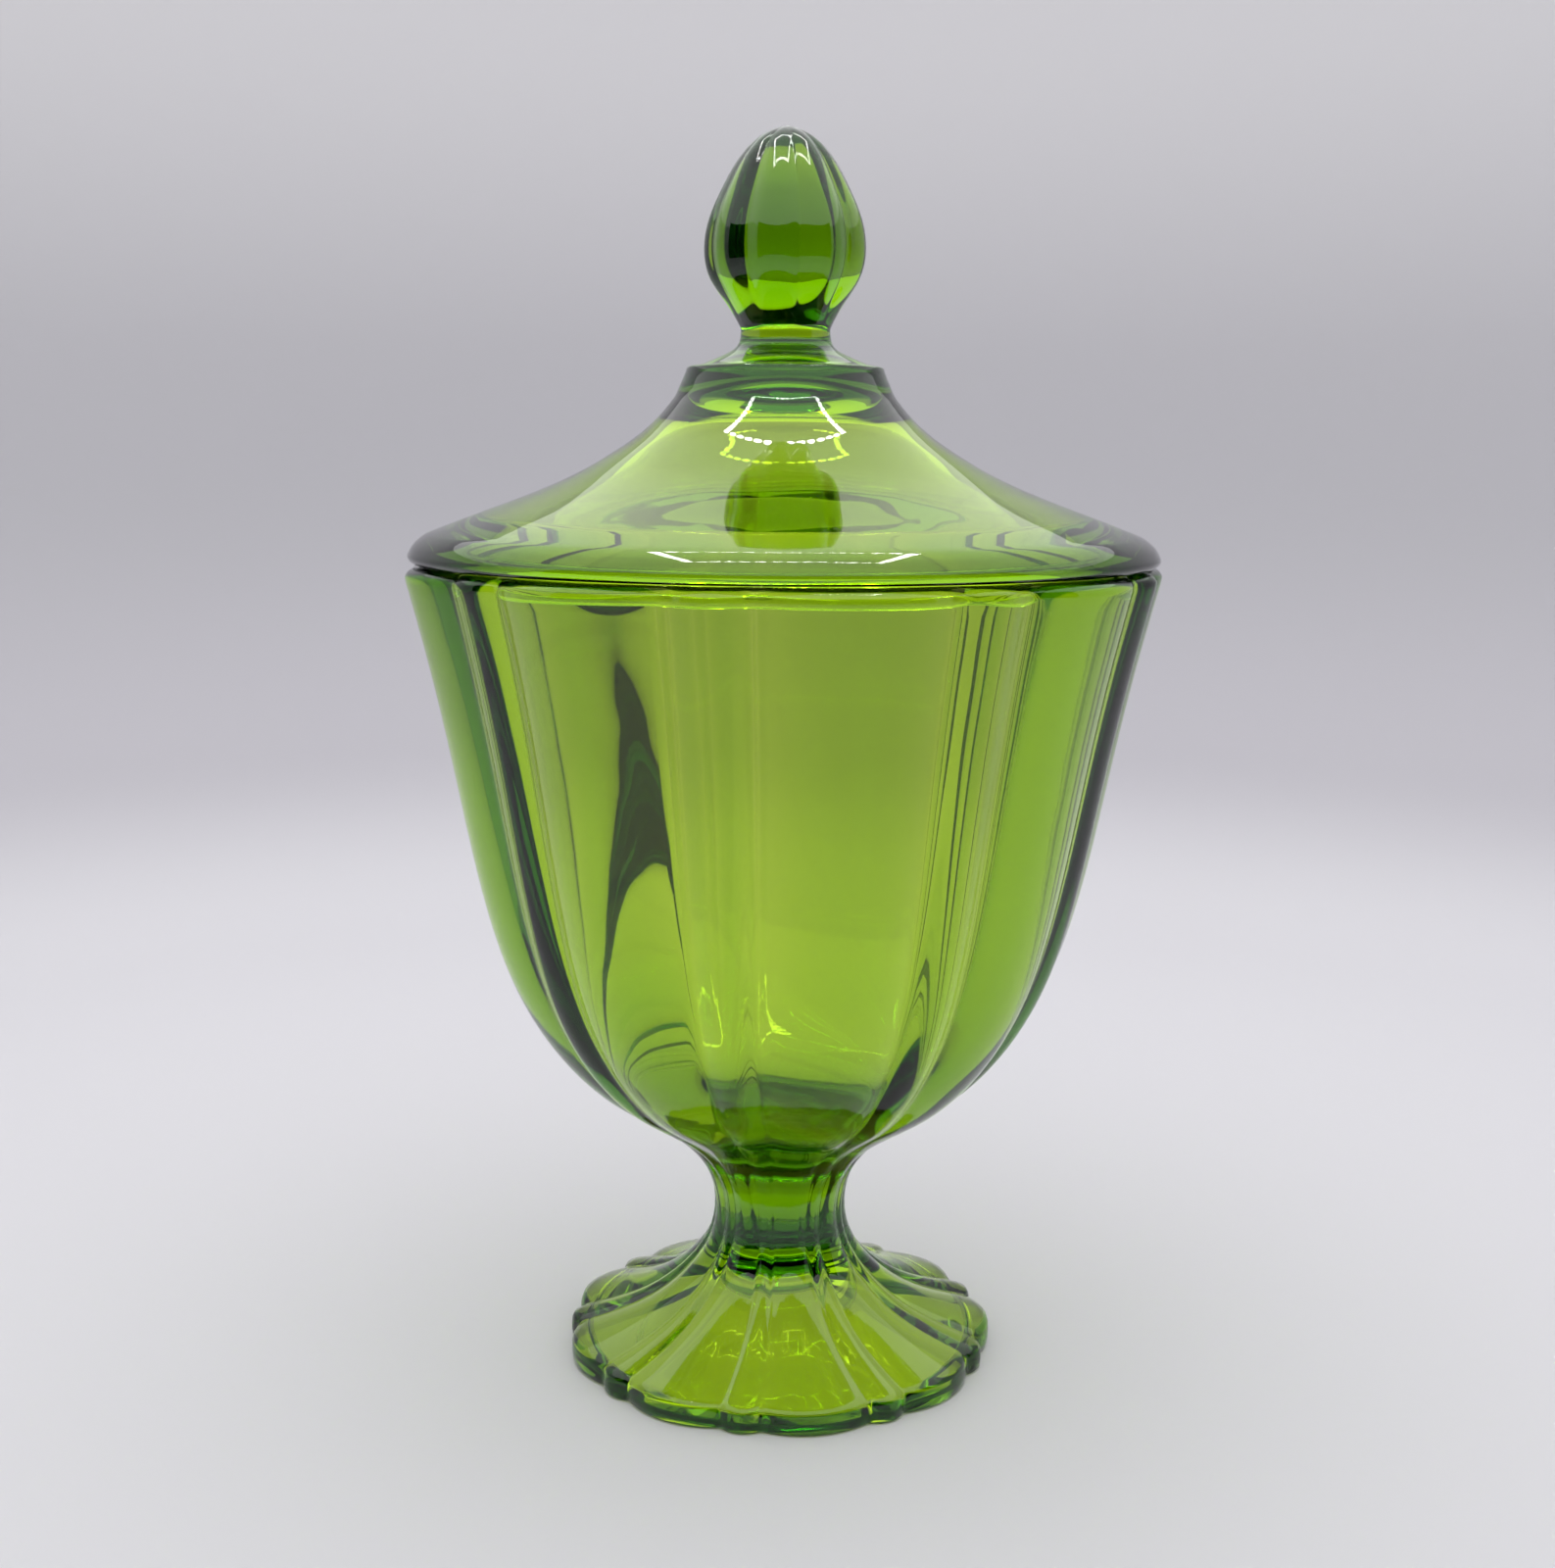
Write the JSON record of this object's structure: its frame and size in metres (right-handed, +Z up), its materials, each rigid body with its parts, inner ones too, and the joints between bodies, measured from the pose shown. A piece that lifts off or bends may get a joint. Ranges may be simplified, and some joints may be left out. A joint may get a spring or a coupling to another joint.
{
  "type": "candy dish",
  "caption": "Covered pedestal candy dish in clear green pressed glass: a fluted footed bowl and a lift-off domed lid with a bud-shaped finial.",
  "frame": {"origin": "middle of the resting face under the foot", "axes": "+Z up through the stem and the finial; a wide flute of the bowl and a crease of the finial face -Y"},
  "size_m": [0.1386, 0.1391, 0.2311],
  "materials": {
    "bowl_glass": "clear green pressed glass, fire-polished",
    "lid_glass": "clear green pressed glass, fire-polished"
  },
  "bodies": {
    "bowl": {"footed_bowl": "bowl_glass"},
    "cover": {"lid": "lid_glass"}
  },
  "joints": [
    {"name": "lid_lift", "type": "slide", "parent": "bowl", "child": "cover", "axis": [0, 0, 1], "range_m": [0, 0.09]}
  ]
}
